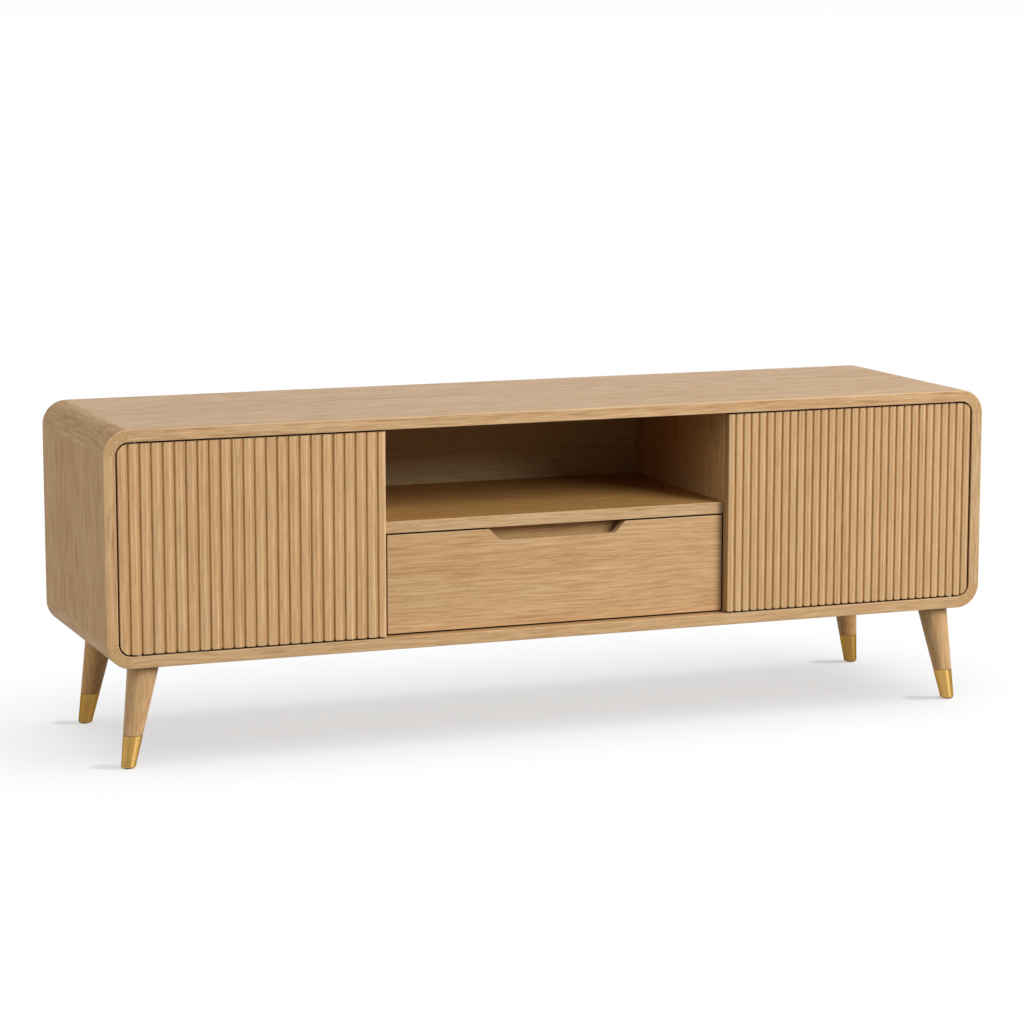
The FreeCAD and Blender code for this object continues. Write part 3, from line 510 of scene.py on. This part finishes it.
def dress_inside():
    inside = dict(figure=0.12, gloss=0.12)
    # painted shade: the inside of the cabinet is tinted darker and warmer
    inner_painted_shade = (0.95, 0.93, 0.85)
    clothe(oak("oak_dividers", "z", (6.1, 0.2, 0.0), pith=(0.03, 0.1, 0.0), tone=inner_painted_shade, **inside),
           "left_divider", "right_divider")
    clothe(oak("oak_inner_shelves", "x", (9.3, 0.1, 0.0), tone=inner_painted_shade, **inside),
           "left_inner_shelf", "right_inner_shelf")
    # painted shade: the shelf is tinted darker and warmer still, its front edge a little cooler
    clothe(oak("oak_shelf", "x", (7.0, 0.0, 0.0), pith=(0.02, 0.0, 0.33),
               tone=(0.80, 0.72, 0.49), front_painted_lighting=(1.02, 1.05, 1.12), **inside), "centre_shelf")


def dress_door(side, start, slat_tone, pitch):
    low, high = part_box(side + "_door_slats")
    slats = oak("oak_slats_" + side, "z", (start, 0.0, 0.0), pith=(0.01, 0.0, -0.16), ring=0.0045,
                figure=0.10, waver=0.35, tone=slat_tone, rim=(low, high),
                boards=(low.x - SLAT_GROOVE / 2, pitch))
    clothe(slats, side + "_door_slats")
    # painted shade and light: the panel is tinted dark on its edges in the gaps, and lighter and warmer on
    # its face in the grooves
    panel = oak("oak_door_" + side, "z", (start + 3, 0.1, 0.0), pith=(0.03, 0.1, -0.1),
                tone=(0.70, 0.62, 0.44), front_painted_lighting=(1.65, 1.70, 1.65), rim=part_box(side + "_door_panel"))
    clothe(panel, side + "_door_panel")


def dress_doors():
    low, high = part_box("right_door_slats")
    right_pitch = (high.x - low.x + SLAT_GROOVE) / RIGHT_SLATS
    dress_door("left", 11.0, (1.04, 1.02, 0.99), LEFT_PITCH)
    dress_door("right", 17.0, (1.01, 1.00, 0.98), right_pitch)


def dress_drawer():
    heart_z = DRAWER_LOW.z + 0.60 * (DRAWER_HIGH.z - DRAWER_LOW.z)
    clothe(oak("oak_drawer_front", "x", (0.0, 0.0, 0.0), pith=(-0.02, FRONT_Y + 0.07, heart_z),
               figure=0.12, waver=0.4, tone=(1.015, 1.015, 1.02), gloss=0.20), "drawer_front")
    clothe(oak("oak_drawer_box_front", "x", (3.3, 0.0, 0.1), tone=(1.04, 1.00, 0.88), gloss=0.25),
           "drawer_box_front")
    clothe(plywood("ply_sides", "y", (1.0, 0.0, 0.0), "x"), "drawer_left_side", "drawer_right_side")
    clothe(plywood("ply_back", "x", (2.0, 0.0, 0.0), "y"), "drawer_back")
    clothe(plywood("ply_bottom", "x", (4.0, 0.0, 0.0), "z"), "drawer_bottom")


def dress_joinery():
    clothe(plywood("ply_splines", "y", (6.0, 0.0, 0.0)), "corner_splines")
    clothe(plywood("beech_dowels", "y", (3.0, 0.0, 0.0)), "drawer_dowels", "case_dowels")


def dress_legs():
    """The back legs are painted darker and browner than the front ones: painted shade."""
    for i, corner in enumerate(("front_left", "front_right", "back_left", "back_right")):
        low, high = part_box(corner + "_leg")
        mid = (low + high) / 2
        # painted shade: the back legs get a darker, browner tint than the front ones
        tone = 1.05 if corner.startswith("front") else (0.94, 0.84, 0.69)
        clothe(oak("oak_leg_" + corner, "z", (2.0 * i, 0.0, 0.0), pith=(0.0, mid.x, mid.y + 0.05),
                   ring=0.005, tone=tone, gloss=0.15, edge=None, seam_z=FERRULE_TOP), corner + "_leg")


def dress_hardware():
    # the back ferrules get painted shade
    brass = metal("brass_satin", rgb(202, 160, 90), (0.45, 0.34, 0.18, 1.0), 0.26, (30.0, 30.0, 1500.0),
                  turned=0.85, back_painted_shade=(0.68, 0.64, 0.55, 1.0))
    clothe(brass, "leg_ferrules")
    zinc = metal("zinc_steel", rgb(196, 198, 201), (0.9, 0.9, 0.9, 1.0), 0.30, (900.0, 40.0, 900.0))
    clothe(zinc, "back_panel_screws", "shelf_pins", "left_door_striker", "right_door_striker", "pivot_plates",
           "pivot_pins", "pivot_plate_screws", "latch_screws", "slide_outer_rails", "slide_middle_rails",
           "slide_inner_rails", "slide_case_screws", "slide_drawer_screws", "hanger_bolts", "leg_inserts")
    clothe(metal("spring_steel", rgb(150, 152, 156), (0.8, 0.8, 0.8, 1.0), 0.28), "latch_springs")
    clothe(plastic("nylon", rgb(226, 222, 210), 0.48), "left_door_bushes", "right_door_bushes",
           "left_latch_plunger", "right_latch_plunger", "pivot_washers", "slide_runner_strips")
    clothe(plastic("dark_plastic", rgb(58, 52, 46), 0.45), "left_latch_housing", "right_latch_housing",
           "left_cable_grommet", "right_cable_grommet")
    clothe(plastic("glide_rubber", rgb(52, 50, 48), 0.7, 900.0), "foot_glides")


# ---------------------------------------------------------------- floor, light, camera
def floor():
    """A very wide pale floor that glows a little."""
    material, t, shader = new_material("floor_white")
    cloud = t.noise(t.position(), scale=3.0)
    t.put(shader.inputs["Base Color"], t.mix(cloud, FLOOR_DARK, FLOOR_LIGHT))
    shader.inputs["Roughness"].default_value = 0.9
    shader.inputs["Specular IOR Level"].default_value = 0.05
    shader.inputs["Emission Color"].default_value = (1, 1, 1, 1)
    shader.inputs["Emission Strength"].default_value = FLOOR_GLOW
    bpy.ops.mesh.primitive_circle_add(vertices=96, radius=FLOOR_RADIUS, fill_type="NGON", location=(0, 0, 0))
    disc = bpy.context.object
    disc.name = "floor"
    disc.data.materials.append(material)
    disc.visible_diffuse = False
    return disc


def toward(azimuth, elevation):
    """A direction, in degrees.  Azimuth 0 is in front of the cabinet, 90 at its right."""
    turn, rise = math.radians(azimuth), math.radians(elevation)
    return Vector((math.sin(turn) * math.cos(rise), -math.cos(turn) * math.cos(rise), math.sin(rise)))


def place(thing, location, direction):
    """Put a lamp or the camera in the scene, looking back along the direction that it stands in."""
    thing.location = location
    thing.rotation_mode = "QUATERNION"
    thing.rotation_quaternion = (-direction).to_track_quat("-Z", "Y")
    bpy.context.scene.collection.objects.link(thing)


def add_lamp(name, kind, direction, distance, energy):
    data = bpy.data.lights.new(name, kind)
    data.energy = energy
    lamp = bpy.data.objects.new(name, data)
    place(lamp, direction * distance, direction)
    return lamp


def softbox(name, azimuth, elevation, distance, size, energy):
    lamp = add_lamp(name, "AREA", toward(azimuth, elevation), distance, energy)
    lamp.data.shape = "DISK"
    lamp.data.size = size
    return lamp


def far_light(name, azimuth, elevation, angle, energy):
    """A light from so far off that only its direction and its angle across matter."""
    lamp = add_lamp(name, "SUN", toward(azimuth, elevation), 10.0, energy)
    lamp.data.angle = math.radians(angle)
    return lamp


def world():
    """A dim room with a bright backdrop low down behind and beside the cabinet."""
    room = bpy.data.worlds.new("studio")
    bpy.context.scene.world = room
    room.use_nodes = True
    t = Tree(room.node_tree)
    _, y, z = t.split(t.add("ShaderNodeTexCoord").outputs["Generated"])

    below_top = t.remap(z, 0.16, 0.34, 1.0, 0.0, smooth=True)
    above_foot = t.remap(z, -0.06, -0.02, 0.0, 1.0, smooth=True)
    behind = t.remap(y, -0.55, -0.15, 0.0, 1.0, smooth=True)
    backdrop = t.math("MULTIPLY", t.math("MULTIPLY", below_top, above_foot), behind)

    from_floor = t.remap(z, -0.50, -0.30, 0.26, 0.0, smooth=True)
    walls = t.remap(z, 0.05, 0.40, 0.12, 0.21, smooth=True)
    dimmer_in_front = t.remap(y, -0.85, -0.25, 0.50, 1.0, smooth=True)
    room_light = t.math("MULTIPLY_ADD", walls, dimmer_in_front, from_floor)

    level = t.math("MULTIPLY_ADD", backdrop, 0.87, room_light)
    t.put(room.node_tree.nodes["Background"].inputs["Color"], t.join(level, level, level))


def linked(name, objects, state):
    """A light-linking collection that includes or excludes these objects."""
    collection = bpy.data.collections.new(name)
    for i, thing in enumerate(objects):
        collection.objects.link(thing)
        collection.collection_objects[i].light_linking.link_state = state
    return collection


def lights(floor_disc):
    """A softbox, two broad fills and a glint on the ferrules, and two lights that reach only the floor."""
    world()
    ferrules = frame["nodes"]["leg_ferrules"]
    glides = frame["nodes"]["foot_glides"]

    key = softbox("key", azimuth=34, elevation=29.5, distance=12.0, size=6.9, energy=1510)
    left_fill = far_light("left_fill", azimuth=-80, elevation=26, angle=50, energy=0.93)
    back_fill = far_light("back_fill", azimuth=155, elevation=30, angle=50, energy=0.45)
    cabinet_lights = ((key, [floor_disc]), (left_fill, [floor_disc, ferrules]), (back_fill, [floor_disc]))
    for lamp, skipped in cabinet_lights:
        lamp.light_linking.receiver_collection = linked("not_lit_by_" + lamp.name, skipped, "EXCLUDE")

    glint = far_light("ferrule_glint", azimuth=38, elevation=14, angle=12, energy=0.8)
    glint.data.color = (0.80, 1.0, 1.25)
    glint.light_linking.receiver_collection = linked("ferrules_only", [ferrules], "INCLUDE")

    # the whole cabinet shades the floor from the first light, and only its feet from the second
    only_floor = linked("floor_only", [floor_disc], "INCLUDE")
    overhead = far_light("floor_light", azimuth=40, elevation=76, angle=74, energy=2.22)
    overhead.light_linking.receiver_collection = only_floor
    foot_light = far_light("foot_light", azimuth=68, elevation=46, angle=9, energy=1.45)
    foot_light.light_linking.receiver_collection = only_floor
    foot_light.light_linking.blocker_collection = linked("feet_only", [ferrules, glides], "INCLUDE")


def camera():
    data = bpy.data.cameras.new("camera")
    data.sensor_width = CAMERA_SENSOR
    data.lens = CAMERA_LENS
    data.clip_end = VIEW_REACH
    cam = bpy.data.objects.new("camera", data)
    place(cam, CAMERA_PLACE, toward(CAMERA_AZIMUTH, CAMERA_ELEVATION))
    bpy.context.scene.camera = cam


dress_case()
dress_corners()
dress_inside()
dress_doors()
dress_drawer()
dress_joinery()
dress_legs()
dress_hardware()
lights(floor())
camera()
bpy.context.scene.view_settings.view_transform = "Standard"
